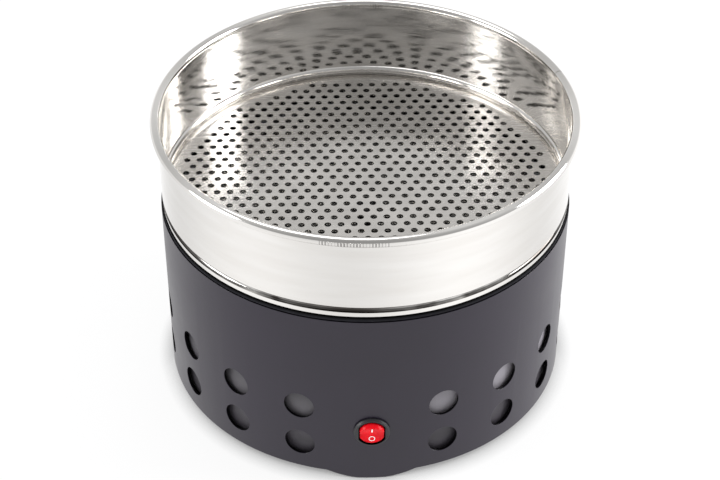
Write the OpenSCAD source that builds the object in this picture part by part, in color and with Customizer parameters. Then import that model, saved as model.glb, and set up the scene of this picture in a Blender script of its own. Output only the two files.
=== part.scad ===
// Countertop cooler: a polished pan with a perforated floor on a vented drum, with a fan inside.
// Millimetres. The origin is on the drum's axis at floor level, +Z is up and the switch faces -Y.
// Azimuths are degrees from the front, -Y, turning towards +X.

/* [Drum] */
// Outside diameter of the drum
drum_d = 254; // [246:1:300]
// Height of the drum's top edge above the floor
drum_h = 125.4; // [118:0.2:170]
// Sheet thickness of the drum
drum_t = 1.5; // [1:0.1:2]
// Height of the skirt's edge above the floor, between the foot lobes
skirt_gap = 5; // [4:0.5:7]
// Radius of the arc that draws each foot lobe
lobe_arc_r = 76; // [50:1:120]
// Height of the lobes' flat edge above the floor
lobe_clear = 0.5; // [0.3:0.1:1]

/* [Vents] */
// Diameter of each vent hole
vent_d = 19; // [14:0.5:22]
// Height of the lower row's centres
vent_low_z = 24.8; // [22:0.2:30]
// Height between the two rows
vent_row_step = 30; // [26:0.5:36]
// Places round the drum, the front one and the back one among them
vent_places = 18; // [12:2:20]
// Gap between the drum and the wire cloth behind the vents
cloth_gap = 1.9; // [1.9:0.1:3]

/* [Pan] */
// How far the pan wall stands inside the drum's outside
pan_inset = 1; // [0.4:0.1:2]
// Height of the pan above the seat
pan_h = 58.3; // [40:0.1:90]
// Sheet thickness of the pan
pan_t = 1; // [0.8:0.1:1.4]
// Diameter of the rolled bead round the rim
rim_bead_d = 5.8; // [4.6:0.1:7]
// How far the bead reaches inwards from the wall's outer face
rim_bead_in = 1.8; // [1.4:0.1:2.4]
// Half height of the groove rolled into the wall
groove_r = 1.85; // [1.4:0.05:2.2]
// Height of the groove's centre above the seat
groove_up = 5.2; // [5:0.1:8]
// Depth of the spigot that locates the pan in the drum
spigot_h = 9.7; // [6:0.1:11]
// Azimuth of the butt joint in the rolled rim
rim_seam_az = 107; // [90:1:150]

/* [Pan floor] */
// Sheet thickness of the perforated floor
floor_t = 1; // [0.8:0.1:1.4]
// Diameter of the perforations
floor_hole_d = 4.2; // [3:0.1:5]
// Distance between neighbouring perforations
floor_pitch = 8; // [7.5:0.1:12]
// Plain margin outside the perforations
floor_margin = 7; // [6:0.5:12]

/* [Seat gasket] */
// Height of the lip between the drum and the pan
gasket_lip_h = 3.3; // [2.5:0.1:5]
// How far the lip stands back from the drum's outside
gasket_back = 0.6; // [0.3:0.1:1]
// Thickness of the leg inside the drum
gasket_leg_t = 2.4; // [1.6:0.1:2.8]
// Depth of the leg inside the drum
gasket_leg_h = 8; // [5:0.5:10]

/* [Hopper] */
// Gap between the hopper's foot and the drum
hopper_foot_gap = 25.5; // [25:0.5:30]
// Gap between the hopper's mouth and the drum
hopper_mouth_gap = 12.5; // [12.5:0.5:16]
// Height of the fan deck, the hopper's floor
hopper_z = 20; // [19:0.5:24]
// Sheet thickness of the hopper
hopper_t = 1; // [0.8:0.1:1.3]
// Distance from the drum's top edge down to the welded ledge
ledge_drop = 17.9; // [17:0.1:22]

/* [Chaff tray] */
// Depth of the tray below its flange
tray_h = 11.5; // [8:0.5:14]
// Distance between the screen's wires
screen_pitch = 11; // [10:0.5:14]
// Width of a screen wire
screen_wire = 1.4; // [1:0.1:2]
// Height of the pull knob
knob_h = 14; // [10:0.5:15]

/* [Fan] */
// Width of the square fan frame
fan_w = 120; // [116:1:122]
// Depth of the fan frame
fan_h = 25; // [24:0.5:32]
// Distance between the fan's mounting holes
fan_hole_pitch = 105; // [101:0.5:106]
// Number of blades
blade_count = 7; // [5:1:9]
// Radius of the rotor hub
hub_r = 20; // [19:0.5:24]
// Gap between the blade tips and the frame
tip_gap = 1; // [0.6:0.1:2]

/* [Switch and inlet] */
// Diameter of the round switch bezel
bezel_d = 22; // [21.5:0.1:24]
// Diameter of the switch barrel
barrel_d = 20; // [19.8:0.1:20.4]
// Angle that the rocker swings through
rocker_swing = 22; // [16:1:24]
// Inside radius of the power socket
socket_r = 2.85; // [2.6:0.05:3]

/* [Feet] */
// Distance from the drum's inside to the centres of the rubber feet
foot_inset = 12.5; // [12.5:0.5:17]
// Height of a rubber foot
foot_h = 6.2; // [5.5:0.1:8]
// Diameter of a rubber foot
foot_d = 20; // [16:0.5:22]

/* [Hidden] */
$fn = 96;
eps = 0.01;

// Colours
black_paint = "#46444a";
steel = "#dcdcd8";
zinc = "#b9bcbd";
black_rubber = "#141416";
black_plastic = "#232326";
switch_red = "#d3152a";

// Drum
drum_r = drum_d / 2;
drum_in_r = drum_r - drum_t;
vent_step_az = 360 / vent_places;
service_z = vent_low_z + vent_row_step / 2;     // the switch and the inlet sit between the two rows
lobe_count = 4;
barrel_clear = 0.1;

// Wire cloth behind the vents, in two strips that leave the switch and the inlet free
cloth_t = 0.8;
cloth_margin = 2;
cloth_out_r = drum_in_r - cloth_gap;
cloth_z0 = vent_low_z - vent_d / 2 - cloth_margin;
cloth_z1 = vent_low_z + vent_row_step + vent_d / 2 + cloth_margin;
cloth_end_az = vent_step_az - atan((vent_d / 2 + 2 * cloth_margin) / drum_in_r);

// Pan, from the seat upwards
seat_z = drum_h + gasket_lip_h;
pan_r = drum_r - pan_inset;
rim_bead_r = rim_bead_d / 2;
rim_x = pan_r - rim_bead_in + rim_bead_r;
rim_z = seat_z + pan_h - rim_bead_r;
curl_t = pan_t * 0.9;
groove_z = seat_z + groove_up;
seam_w = 0.4;
seam_deep = 0.4;
spigot_gap = 0.6;
curl_mouth = 0.8;
spigot_r = drum_in_r - gasket_leg_t - spigot_gap;
floor_z = seat_z + pan_t;
floor_gap = 0.2;
floor_r = pan_r - pan_t - floor_gap;

// Ledge ring, welded inside the drum, and the hopper that hangs from it
ledge_t = 1.5;
ledge_z = drum_h - ledge_drop;                  // top of the ledge
ledge_leg_h = 10;
ledge_leg_t = 1.2;
hopper_bottom_r = drum_in_r - hopper_foot_gap;
hopper_mouth_r = drum_in_r - hopper_mouth_gap;
hopper_slant_t = hopper_t * 1.05;
ledge_in_r = hopper_mouth_r + hopper_slant_t + 2;
flange_r = drum_in_r - 1.7;
flange_screw_at = (ledge_in_r + drum_in_r) / 2 - 0.6;
flange_screw_count = 4;
flange_screw_az = 45;
flange_hole_r = 1.8;
flange_screw_r = 1.7;
flange_head_r = 3;
flange_head_h = 1.8;
flange_screw_l = 9;
flange_z = ledge_z + hopper_t;                  // top of the hopper's flange
function hopper_in_r(z) = hopper_bottom_r
    + (hopper_mouth_r - hopper_bottom_r) * (z - hopper_z) / (flange_z - hopper_z);

// Chaff tray, hung in the hopper's mouth
tray_t = 1;
tray_flange_r = hopper_mouth_r + 2.6;
screen_gap = 0.2;
tray_z = flange_z - tray_h;                     // underside of the tray
tray_gap = 1;
tray_r = hopper_in_r(tray_z) - tray_gap;
tray_lip = 6;
screen_t = 0.6;
screen_z = tray_z + tray_t;
knob_z = screen_z + screen_t;
knob_r = 8;
knob_bore_r = 1.55;
knob_screw_r = 1.5;
knob_hole_gap = 0.1;
knob_head_r = 2.8;
knob_head_h = 1.8;
knob_washer_r = 7;
knob_washer_t = 0.8;

// Fan, standing on the hopper's floor and blowing down
fan_z = hopper_z + hopper_t;
fan_top = fan_z + fan_h;
fan_bore_r = fan_w / 2 - 2;
fan_corner_r = fan_w * 0.683;
fan_flange_t = 4;
fan_wall_t = 1.7;
fan_hole_r = 2.2;
fan_hole_at = fan_hole_pitch / 2;
motor_plate_t = 3;
motor_plate_r = hub_r;
arm_w = 5;
shaft_r = 1.6;
shaft_clear = 0.05;
bearing_r = 4;
bearing_h = 3;
bearing_up = 3;
bearing_drop = 0.5;
tube_t = 1.5;
board_z = fan_z + motor_plate_t;
board_t = 1.2;
hub_gap = 1;
hub_drop = 1.2;
tube_drop = 5.2;
rotor_z = board_z + board_t + hub_gap;          // lower edge of the rotor's hub
rotor_top = fan_top - hub_drop;
hub_t = 1.6;
magnet_t = 2;
magnet_r = hub_r - hub_t;
tube_top = rotor_top - tube_drop;
cap_gap = 1;
hub_chamfer = 1.5;
shaft_in_hub = 2.5;
shaft_end_gap = 0.2;
press_gap = 0.02;
blade_t = 1.6;
blade_arc_r = 26;
blade_skew = 10;
blade_chord = 24;
blade_drop = 18;                                // how far the blade's arc centre lies below its middle
guard_wire_r = 0.8;
guard_rod_z = fan_top + guard_wire_r;
guard_ring_count = 5;
guard_edge_gap = 3;
guard_eye_t = 2 * guard_wire_r;
guard_eye_r = 4.6;
fan_boss_r = 4.2;
fan_screw_r = 2;
fan_head_r = 3.6;
fan_head_h = 2.4;
nut_r = 4.04;
nut_t = 3.2;
thread_gap = 0.05;
magnet_gap = 0.05;
pole_gap = 0.6;
pole_w = 6;
pole_shoe_w = 15;
winding_w = 3;

// Switch: a local frame at the drum's face, +Z outwards and +Y up
bezel_t = 2.2;
barrel_depth = 12.5;
pivot_in = 0.8;
rocker_w = 14.4;
rocker_ball_r = 8.4;
rocker_gap = 0.5;
rocker_dish = 12;
rocker_face = 2.4;
rocker_depth = 4;
rocker_well = 9;
trunnion_r = 1;
trunnion_half = 8.3;
terminal_l = 6.5;
terminal_up = 7;
terminal_t = 0.8;
terminal_w = 4.8;
snap_out = 1;
snap_w = 4;
snap_l = 3.7;
drum_bulge = 0.8;                               // how far the drum's curve falls away behind the barrel

// Inlet, in the same kind of frame at the back
inlet_flange_r = 5.5;
inlet_barrel_r = socket_r + 1.05;
inlet_depth = 15;
socket_depth = 8;
inlet_flange_t = 2;
inlet_chamfer = 0.6;
inlet_nut_w = 1.8;
inlet_nut_t = 2.5;
socket_pin_r = 1;
tag_l = 5;
tag_w = 2.4;
tag_t = 0.5;
tag_up = 2;

// Feet and base
foot_circle_r = drum_in_r - foot_inset;
foot_taper = 2;
foot_well_r = 4.4;
foot_hole_r = 2.2;
foot_head_r = 3.6;
foot_head_h = 2.2;
base_t = 1.2;
base_z = foot_h;
base_gap = 0.6;
dimple_r = fan_bore_r + 4;
dimple_w = 4;
dimple_h = 1.5;
bracket_t = 1.5;
bracket_z = base_z + base_t;
bracket_az = 10;
bracket_leg_h = 10;
bracket_reach = 10;
weld_nut_r = 4;
weld_nut_h = 3;
weld_r = drum_in_r - 0.01;
foot_screw_r = 2;

// Leads
lead_r = 1.5;
lead_ring_r = drum_in_r - 3.7;
lead_ring_z = ledge_z - 23.5;
lead_az_step = 4;
lead_bend = 5;                                  // unit that the leads' bends are laid out in
solder_gap = 0.1;
terminal_y = -drum_r + barrel_depth + terminal_l / 2;
tag_y = drum_r - inlet_depth - tag_l / 2;
clip_az = [-150, -110, -70, -30];
clip_w_az = 5;
clip_t = 1.2;
clip_gap = 0.2;
clip_h = 12;
grommet_y = 75;
grommet_hole_r = 4;
grommet_lip = 1.5;
grommet_gap = 0.3;

// Point on a circle at an azimuth
function at_az(r, az, z) = [r * sin(az), -r * cos(az), z];

// Turns a child made on the +X side to an azimuth
module to_az(az) {
    rotate([0, 0, az - 90]) children();
}

// Ring of square section about the drum's axis
module ring(r_in, r_out, z0, z1) {
    rotate_extrude() translate([r_in, z0]) square([r_out - r_in, z1 - z0]);
}

// Local frame on the drum's face: +Z outwards, +Y up
module on_face(az, z) {
    rotate([0, 0, az]) translate([0, -drum_r, z]) rotate([90, 0, 0]) children();
}

// Cross-headed screw pointing down, its head's underside at the origin
module screw(r, head_r, head_h, length) {
    difference() {
        union() {
            cylinder(r1 = head_r, r2 = head_r * 0.8, h = head_h);
            translate([0, 0, -length]) cylinder(r = r, h = length + eps);
        }
        for (a = [0, 90]) rotate([0, 0, a])
            translate([-head_r * 0.55, -0.4, head_h * 0.4]) cube([head_r * 1.1, 0.8, head_h]);
    }
}

// Repeats a child at each of the hopper's screws
module at_flange_screws(z) {
    for (i = [0 : flange_screw_count - 1])
        translate(at_az(flange_screw_at, flange_screw_az + i * 360 / flange_screw_count, z)) children();
}

// Repeats a child at each corner screw of the fan
module at_fan_corners(z) {
    for (x = [-fan_hole_at, fan_hole_at]) for (y = [-fan_hole_at, fan_hole_at])
        translate([x, y, z]) children();
}

// Repeats a child at each rubber foot
module at_feet(z) {
    for (i = [0 : lobe_count - 1]) translate(at_az(foot_circle_r, i * 360 / lobe_count, z)) children();
}

module vent_holes() {
    for (i = [1 : vent_places - 1]) if (i != vent_places / 2)
        for (z = [vent_low_z, vent_low_z + vent_row_step])
            on_face(i * vent_step_az, z) translate([0, 0, -2 * drum_t]) cylinder(d = vent_d, h = 4 * drum_t);
}

// Sheet drum: skirt with four foot lobes, two rows of vents, switch hole and inlet hole
module drum() color(black_paint) {
    difference() {
        ring(drum_in_r, drum_r, skirt_gap, drum_h);
        vent_holes();
        on_face(0, service_z) translate([0, 0, -10]) cylinder(d = barrel_d + 2 * barrel_clear, h = 20);
        on_face(180, service_z) translate([0, 0, -10]) cylinder(r = inlet_barrel_r + barrel_clear, h = 20);
    }
    for (i = [0 : lobe_count - 1]) intersection() {
        ring(drum_in_r, drum_r, lobe_clear, skirt_gap);
        on_face(i * 360 / lobe_count, lobe_arc_r) translate([0, 0, -20]) cylinder(r = lobe_arc_r, h = 30);
    }
}

// Angle ring welded inside the drum
module ledge_ring() color(black_paint) difference() {
    union() {
        ring(ledge_in_r, drum_in_r, ledge_z - ledge_t, ledge_z);
        ring(drum_in_r - ledge_leg_t, drum_in_r, ledge_z - ledge_leg_h, ledge_z - ledge_t / 2);
    }
    at_flange_screws(ledge_z - 2 * ledge_t) cylinder(r = flange_hole_r, h = 4 * ledge_t);
}

// Strips of wire cloth that keep fingers and chaff off the fan, their top edges folded out and welded
module vent_screens() color(steel) for (az = [cloth_end_az, 180 + cloth_end_az])
    to_az(az) rotate_extrude(angle = 180 - 2 * cloth_end_az) polygon([
        [cloth_out_r - cloth_t, cloth_z0], [cloth_out_r, cloth_z0], [cloth_out_r, cloth_z1 - cloth_t],
        [weld_r, cloth_z1 - cloth_t], [weld_r, cloth_z1], [cloth_out_r - cloth_t, cloth_z1]]);

// Four angle tabs welded to the skirt, each with a weld nut
module foot_brackets() color(zinc) for (i = [0 : lobe_count - 1]) {
    az = i * 360 / lobe_count;
    difference() {
        union() {
            to_az(az - bracket_az / 2) rotate_extrude(angle = bracket_az) polygon([
                [foot_circle_r - bracket_reach, bracket_z], [weld_r, bracket_z],
                [weld_r, bracket_z + bracket_leg_h], [weld_r - bracket_t, bracket_z + bracket_leg_h],
                [weld_r - bracket_t, bracket_z + bracket_t],
                [foot_circle_r - bracket_reach, bracket_z + bracket_t]]);
            translate(at_az(foot_circle_r, az, bracket_z + bracket_t / 2))
                cylinder(r = weld_nut_r, h = weld_nut_h + bracket_t / 2);
        }
        translate(at_az(foot_circle_r, az, bracket_z - bracket_t))
            cylinder(r = foot_screw_r + thread_gap, h = 3 * bracket_t + weld_nut_h);
    }
}

// Round plate that closes the drum below, its middle pressed up to stiffen it
module base_plate() color(black_paint) difference() {
    union() {
        translate([0, 0, base_z]) cylinder(r = drum_in_r - base_gap, h = base_t);
        translate([0, 0, base_z]) cylinder(r1 = dimple_r + dimple_w, r2 = dimple_r, h = base_t + dimple_h);
    }
    translate([0, 0, base_z - eps])
        cylinder(r1 = dimple_r + dimple_w - base_t, r2 = dimple_r - base_t, h = dimple_h + eps);
    at_feet(base_z - base_t) cylinder(r = foot_hole_r, h = 3 * base_t);
}

module foot_pads() color(black_rubber) at_feet(0) difference() {
    cylinder(d1 = foot_d, d2 = foot_d - foot_taper, h = foot_h);
    translate([0, 0, -1]) cylinder(r = foot_hole_r, h = foot_h + 2);
    translate([0, 0, -1]) cylinder(r = foot_well_r, h = foot_h / 2 + 1);
}

module foot_screws() color(zinc) at_feet(foot_h / 2) rotate([180, 0, 0])
    screw(foot_screw_r, foot_head_r, foot_head_h, bracket_z + bracket_t + weld_nut_h - foot_h / 2 + 1);

// Edge trim on the drum, which the pan stands on
module seat_gasket() color(black_rubber) rotate_extrude() polygon([
    [drum_in_r - gasket_leg_t, drum_h - gasket_leg_h], [drum_in_r, drum_h - gasket_leg_h],
    [drum_in_r, drum_h], [drum_r - gasket_back, drum_h], [drum_r - gasket_back, seat_z],
    [drum_in_r - gasket_leg_t, seat_z]]);

// Section of the pan wall: rolled rim, straight wall, rolled groove, seat flange and spigot
module pan_section() {
    groove_out_r = groove_r + pan_t;
    translate([rim_x, rim_z]) difference() {
        circle(r = rim_bead_r);
        circle(r = rim_bead_r - curl_t);
        translate([curl_t / 4, -2 * rim_bead_r]) square([curl_mouth, 2 * rim_bead_r]);
    }
    translate([pan_r - pan_t, groove_z + groove_r]) square([pan_t, rim_z - groove_z - groove_r]);
    intersection() {
        translate([pan_r, groove_z]) difference() {
            circle(r = groove_out_r);
            circle(r = groove_r);
        }
        translate([pan_r - 2 * groove_out_r, groove_z - 2 * groove_out_r])
            square([2 * groove_out_r, 4 * groove_out_r]);
    }
    translate([pan_r - pan_t, seat_z]) square([pan_t, groove_z - groove_r - seat_z]);
    translate([spigot_r - pan_t, seat_z]) square([pan_r - spigot_r + pan_t, pan_t]);
    translate([spigot_r - pan_t, seat_z - spigot_h]) square([pan_t, spigot_h + pan_t]);
}

// Rolled sheet pan, with the butt joint of its rim
module pan_wall() color(steel) difference() {
    rotate_extrude() pan_section();
    seam_angle = seam_w / rim_x * 180 / PI;
    to_az(rim_seam_az - seam_angle / 2) rotate_extrude(angle = seam_angle) translate([rim_x, rim_z])
        intersection() {
            difference() {
                circle(r = rim_bead_r + 1);
                circle(r = rim_bead_r - seam_deep);
            }
            translate([-10, -rim_bead_r / 3]) square(20);
        }
}

// Perforated disc held between the seat flange and the rolled groove
module pan_floor() color(steel) {
    row = floor_pitch * sqrt(3) / 2;
    rows = floor(floor_r / row);
    field_r = floor_r - floor_margin - floor_hole_d / 2;
    translate([0, 0, floor_z]) linear_extrude(floor_t) difference() {
        circle(r = floor_r);
        for (j = [-rows : rows]) for (i = [-2 * rows : 2 * rows]) {
            x = floor_pitch * (i + abs(j % 2) / 2);
            if (norm([x, j * row]) < field_r) translate([x, j * row]) circle(d = floor_hole_d, $fn = 24);
        }
    }
}

// Spun sheet bucket that gathers the air above the fan
module hopper() color(zinc) difference() {
    rotate_extrude() polygon([
        [hopper_bottom_r, hopper_z], [hopper_bottom_r + hopper_slant_t, hopper_z],
        [hopper_mouth_r + hopper_slant_t, ledge_z], [flange_r, ledge_z],
        [flange_r, flange_z], [hopper_mouth_r, flange_z], [hopper_bottom_r, fan_z]]);
    at_flange_screws(ledge_z - hopper_t) cylinder(r = flange_hole_r, h = 3 * hopper_t);
}

// Flat floor welded into the hopper's foot, which carries the fan
module fan_deck() color(zinc) difference() {
    ring(fan_bore_r, hopper_bottom_r, hopper_z, fan_z);
    at_fan_corners(hopper_z - hopper_t) cylinder(r = fan_hole_r, h = 3 * hopper_t);
    for (y = [-grommet_y, grommet_y])
        translate([0, y, hopper_z - hopper_t]) cylinder(r = grommet_hole_r, h = 3 * hopper_t);
}

module hopper_screws() color(zinc) at_flange_screws(flange_z)
    screw(flange_screw_r, flange_head_r, flange_head_h, flange_screw_l);

// Lift-out tray that catches the chaff above the fan
module chaff_tray() color(steel) rotate_extrude() polygon([
    [tray_r - tray_lip, tray_z], [tray_r, tray_z], [tray_r, flange_z],
    [tray_flange_r, flange_z], [tray_flange_r, flange_z + tray_t],
    [tray_r - tray_t, flange_z + tray_t], [tray_r - tray_t, tray_z + tray_t],
    [tray_r - tray_lip, tray_z + tray_t]]);

// Wire screen on the tray's lip, with a plain centre for the knob
module chaff_screen() color(steel) {
    cells = floor(tray_r / screen_pitch);
    gap = screen_pitch - screen_wire;
    edge_r = tray_r - tray_lip;
    translate([0, 0, screen_z]) linear_extrude(screen_t) difference() {
        circle(r = tray_r - tray_t - screen_gap);
        for (i = [-cells : cells]) for (j = [-cells : cells])
            if (norm([abs(i) + 0.5, abs(j) + 0.5]) * screen_pitch < edge_r && norm([i, j]) > 1)
                translate([i * screen_pitch, j * screen_pitch]) square(gap, center = true);
        circle(r = knob_screw_r + knob_hole_gap);
    }
}

module tray_knob() color(black_plastic) translate([0, 0, knob_z]) difference() {
    rotate_extrude() polygon([
        [0, 0], [knob_r * 0.75, 0], [knob_r * 0.6, knob_h * 0.3], [knob_r * 0.6, knob_h * 0.55],
        [knob_r, knob_h * 0.75], [knob_r, knob_h * 0.9], [knob_r * 0.85, knob_h], [0, knob_h]]);
    translate([0, 0, -1]) cylinder(r = knob_bore_r, h = knob_h * 0.6 + 1);
}

module knob_washer() color(zinc) translate([0, 0, screen_z - knob_washer_t]) difference() {
    cylinder(r = knob_washer_r, h = knob_washer_t);
    translate([0, 0, -1]) cylinder(r = knob_screw_r + knob_hole_gap, h = knob_washer_t + 2);
}

module knob_screw() color(zinc) translate([0, 0, screen_z - knob_washer_t]) rotate([180, 0, 0])
    screw(knob_screw_r, knob_head_r, knob_head_h, knob_washer_t + screen_t + knob_h * 0.5);

module fan_outline(h) {
    linear_extrude(h) intersection() {
        square(fan_w, center = true);
        circle(r = fan_corner_r);
    }
}

// Moulded fan frame with its motor plate, four arms and bearing tube
module fan_frame() color(black_plastic) {
    difference() {
        union() {
            translate([0, 0, fan_z]) fan_outline(fan_flange_t);
            translate([0, 0, fan_top - fan_flange_t]) fan_outline(fan_flange_t);
            translate([0, 0, fan_z]) cylinder(r = fan_bore_r + fan_wall_t, h = fan_h);
            at_fan_corners(fan_z + 1) cylinder(r = fan_boss_r, h = fan_h - 2);
        }
        translate([0, 0, fan_z - 1]) cylinder(r = fan_bore_r, h = fan_h + 2);
        at_fan_corners(fan_z - 1) cylinder(r = fan_hole_r, h = fan_h + 2);
    }
    difference() {
        union() {
            translate([0, 0, fan_z]) cylinder(r = motor_plate_r, h = motor_plate_t);
            for (a = [45 : 90 : 315]) rotate([0, 0, a]) translate([motor_plate_r - 2, -arm_w / 2, fan_z])
                cube([fan_bore_r - motor_plate_r + 2.8, arm_w, motor_plate_t]);
            translate([0, 0, fan_z]) cylinder(r = bearing_r + tube_t, h = tube_top - fan_z);
        }
        translate([0, 0, fan_z + cap_gap]) cylinder(r = bearing_r + press_gap, h = fan_h);
    }
}

// One blade: a cambered sheet cut from a cylinder whose axis runs along the span
module blade() {
    mid_z = (rotor_z + rotor_top) / 2;
    half_z = (rotor_top - rotor_z) / 2 - 1;
    half_y = blade_chord / 2;
    intersection() {
        translate([hub_r, 0, mid_z]) rotate([0, 0, blade_skew]) translate([0, half_y, -blade_drop])
            rotate([0, 90, 0]) difference() {
                cylinder(r = blade_arc_r + blade_t / 2, h = 2 * fan_w, center = true);
                cylinder(r = blade_arc_r - blade_t / 2, h = 2 * fan_w + 2, center = true);
            }
        ring(hub_r - hub_t / 2, fan_bore_r - tip_gap, mid_z - half_z, mid_z + half_z);
        translate([hub_r, 0, mid_z]) rotate([0, 0, blade_skew])
            translate([-hub_r, -half_y - blade_t / 2, -half_z - 1])
                cube([fan_w, blade_chord + blade_t / 2, 2 * half_z + 2]);
    }
}

// Hub cup with its blades
module fan_rotor() color("#2a2a2d") {
    difference() {
        rotate_extrude() polygon([
            [0, tube_top + cap_gap], [magnet_r, tube_top + cap_gap], [magnet_r, rotor_z], [hub_r, rotor_z],
            [hub_r, rotor_top - hub_chamfer], [hub_r - hub_chamfer, rotor_top], [0, rotor_top]]);
        translate([0, 0, tube_top]) cylinder(r = shaft_r + press_gap, h = shaft_in_hub + cap_gap);
    }
    for (i = [0 : blade_count - 1]) rotate([0, 0, i * 360 / blade_count]) blade();
}

module rotor_magnet() color("#3a3a3c") ring(magnet_r - magnet_t, magnet_r - magnet_gap,
    rotor_z + hub_t / 2, tube_top + cap_gap);

module fan_shaft() color(steel) {
    foot = fan_z + cap_gap + shaft_end_gap;
    translate([0, 0, foot]) cylinder(r = shaft_r, h = tube_top + cap_gap + shaft_in_hub - 0.1 - foot);
}

module fan_bearings() color(zinc) for (z = [fan_z + bearing_up, tube_top - bearing_h - bearing_drop])
    ring(shaft_r + shaft_clear, bearing_r, z, z + bearing_h);

// Four wound poles round the bearing tube
module fan_stator() color("#b06a32") {
    pole_r = magnet_r - magnet_t - pole_gap;
    z0 = board_z + board_t + tube_t;
    translate([0, 0, z0]) linear_extrude(tube_top - z0 - tube_t) difference() {
        intersection() {
            circle(r = pole_r);
            union() {
                circle(r = bearing_r + tube_t + winding_w);
                for (a = [0 : 90 : 270]) rotate([0, 0, a]) {
                    translate([0, -pole_w / 2]) square([pole_r + 1, pole_w]);
                    translate([pole_r - tube_t, -pole_shoe_w / 2]) square([2 * tube_t, pole_shoe_w]);
                }
            }
        }
        circle(r = bearing_r + tube_t + magnet_gap);
    }
}

module fan_board() color("#2d6a45") ring(bearing_r + tube_t + magnet_gap,
    magnet_r - magnet_t - pole_gap, board_z, board_z + board_t);

// Welded wire guard over the fan's inlet
module fan_guard() color(steel) difference() {
    union() {
        for (i = [1 : guard_ring_count]) rotate_extrude()
            translate([(fan_bore_r - guard_edge_gap) * i / guard_ring_count,
                guard_rod_z + guard_wire_r * 1.5])
                circle(r = guard_wire_r, $fn = 24);
        for (a = [45, 135]) rotate([0, 0, a]) translate([0, 0, guard_rod_z]) rotate([0, 90, 0])
            cylinder(r = guard_wire_r, h = 2 * fan_hole_at * sqrt(2) - 6, center = true, $fn = 24);
        at_fan_corners(fan_top) cylinder(r = guard_eye_r, h = guard_eye_t);
    }
    at_fan_corners(fan_top - 1) cylinder(r = fan_hole_r, h = guard_eye_t + 2);
}

module fan_screws() color(zinc) at_fan_corners(fan_top + guard_eye_t)
    screw(fan_screw_r, fan_head_r, fan_head_h, fan_h + guard_eye_t + hopper_t + nut_t + 1.5);

module fan_nuts() color(zinc) at_fan_corners(hopper_z - nut_t) difference() {
    cylinder(r = nut_r, h = nut_t, $fn = 6);
    translate([0, 0, -1]) cylinder(r = fan_screw_r + thread_gap, h = nut_t + 2);
}

// Bezel and barrel of the round rocker switch
module switch_body() color(black_plastic) on_face(0, service_z) difference() {
    union() {
        rotate_extrude() polygon([[0, 0], [bezel_d / 2, 0], [bezel_d / 2, bezel_t * 0.45],
            [bezel_d / 2 - 0.9, bezel_t], [0, bezel_t]]);
        translate([0, 0, -barrel_depth]) cylinder(d = barrel_d, h = barrel_depth + eps);
        translate([-barrel_d / 2 - snap_out, -snap_w / 2, -drum_t - drum_bulge - snap_l])
            cube([barrel_d + 2 * snap_out, snap_w, snap_l]);
    }
    intersection() {
        translate([0, 0, -rocker_well]) cylinder(r = rocker_ball_r + rocker_gap, h = 2 * barrel_depth);
        cube([rocker_w + 2 * rocker_gap, 2 * barrel_d, 4 * barrel_depth], center = true);
    }
    translate([0, 0, -pivot_in]) rotate([0, 90, 0])
        cylinder(r = trunnion_r + shaft_clear, h = 2 * trunnion_half + 0.4, center = true);
}

// Rocker with its trunnions, resting with the lower end pressed in
module switch_rocker() color(switch_red) on_face(0, service_z) translate([0, 0, -pivot_in])
    rotate([rocker_swing / 2, 0, 0]) {
        end = 10;
        rise = end * tan(rocker_dish);
        intersection() {
            sphere(r = rocker_ball_r);
            rotate([90, 0, 90]) linear_extrude(rocker_w, center = true) polygon([
                [-end, -rocker_depth], [end, -rocker_depth],
                [end, rocker_face + rise], [0, rocker_face], [-end, rocker_face + rise]]);
        }
        rotate([0, 90, 0]) cylinder(r = trunnion_r, h = 2 * trunnion_half, center = true);
    }

module switch_terminals() color("#c9a56a") on_face(0, service_z) for (y = [-terminal_up, 0, terminal_up])
    translate([-terminal_w / 2, y - terminal_t / 2, -barrel_depth - terminal_l])
        cube([terminal_w, terminal_t, terminal_l]);

// Round power socket in the back of the drum
module power_inlet() color(black_plastic) on_face(180, service_z) difference() {
    union() {
        rotate_extrude() polygon([[0, 0], [inlet_flange_r, 0],
            [inlet_flange_r, inlet_flange_t - inlet_chamfer],
            [inlet_flange_r - inlet_chamfer, inlet_flange_t], [0, inlet_flange_t]]);
        translate([0, 0, -inlet_depth]) cylinder(r = inlet_barrel_r, h = inlet_depth + eps);
    }
    translate([0, 0, -socket_depth]) cylinder(r = socket_r, h = 20);
}

module inlet_nut() color(zinc) on_face(180, service_z) {
    outer_r = inlet_barrel_r + inlet_nut_w;
    face = drum_r - sqrt(pow(drum_in_r, 2) - pow(outer_r, 2)) + press_gap;
    translate([0, 0, -face - inlet_nut_t]) difference() {
        cylinder(r = outer_r, h = inlet_nut_t, $fn = 6);
        translate([0, 0, -1]) cylinder(r = inlet_barrel_r + thread_gap, h = inlet_nut_t + 2);
    }
}

// Centre pin and solder tags of the socket
module inlet_contacts() color(steel) on_face(180, service_z) {
    translate([0, 0, -socket_depth]) cylinder(r = socket_pin_r, h = socket_depth + inlet_flange_t / 4);
    for (y = [-tag_up, tag_up])
        translate([-tag_w / 2, y - tag_t / 2, -inlet_depth - tag_l]) cube([tag_w, tag_t, tag_l]);
}

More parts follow.
